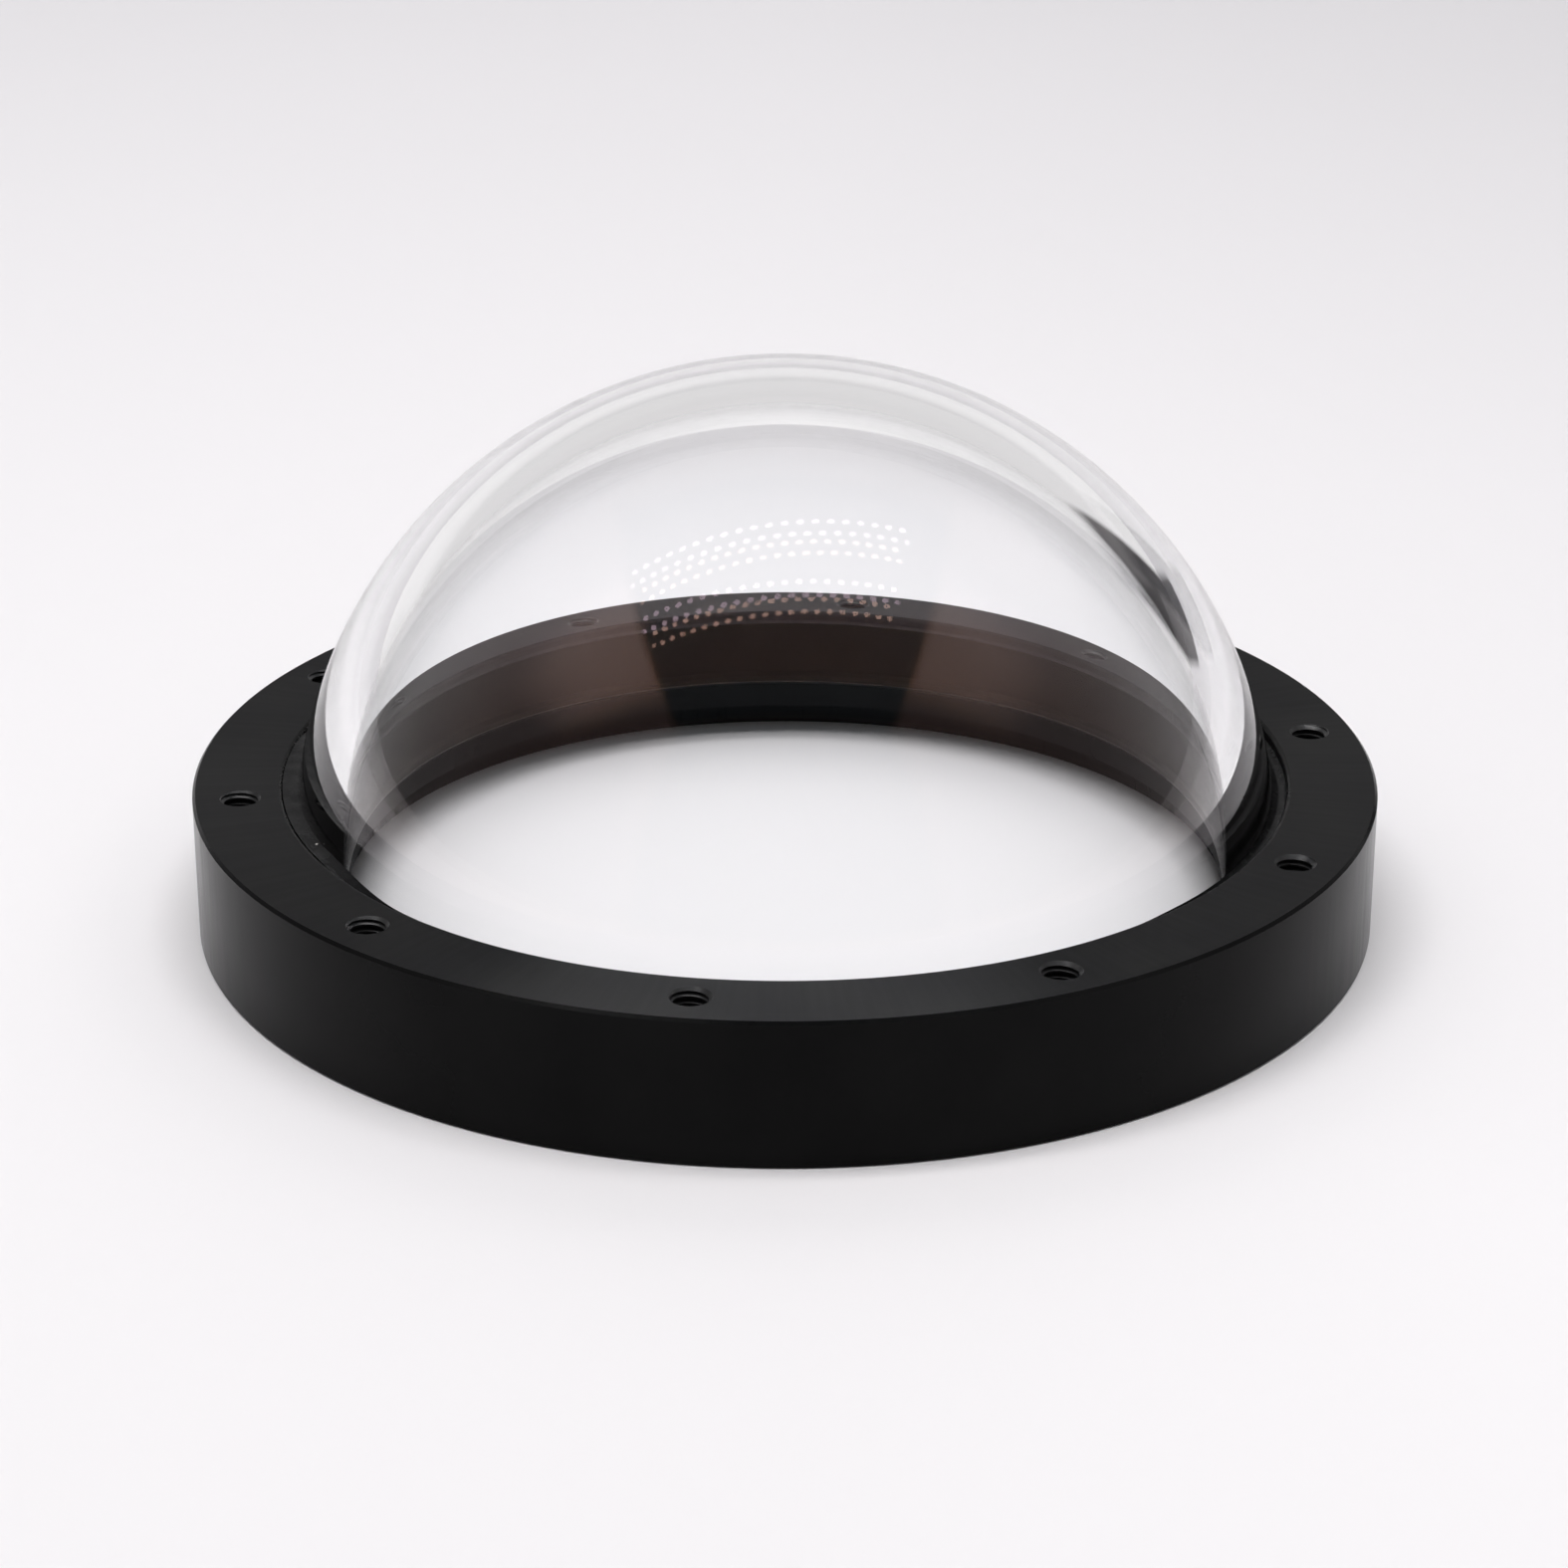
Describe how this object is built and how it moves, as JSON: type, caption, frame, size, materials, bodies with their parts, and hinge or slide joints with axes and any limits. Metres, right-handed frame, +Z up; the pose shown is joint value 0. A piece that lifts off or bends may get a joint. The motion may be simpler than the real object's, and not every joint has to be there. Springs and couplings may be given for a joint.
{
  "type": "dome lens",
  "caption": "Hemispherical glass dome window bonded into a flat black anodised ring with a circle of tapped fixing holes and an open aperture below.",
  "frame": {"origin": "centre of the ring's bottom face, on the dome's axis", "axes": "+Z up along the dome's axis towards its pole; the picture's camera is on the -Y side"},
  "size_m": [0.1194, 0.1194, 0.0558],
  "materials": {
    "anodised_ring": "black anodised, fine turned texture",
    "dome_glass": "polished clear optical glass, bevelled rim",
    "black_sealant": "glossy cured sealant with a few dust specks"
  },
  "bodies": {
    "root": {"mounting_ring": "anodised_ring", "glass_dome": "dome_glass", "sealant_bead": "black_sealant"}
  },
  "joints": []
}
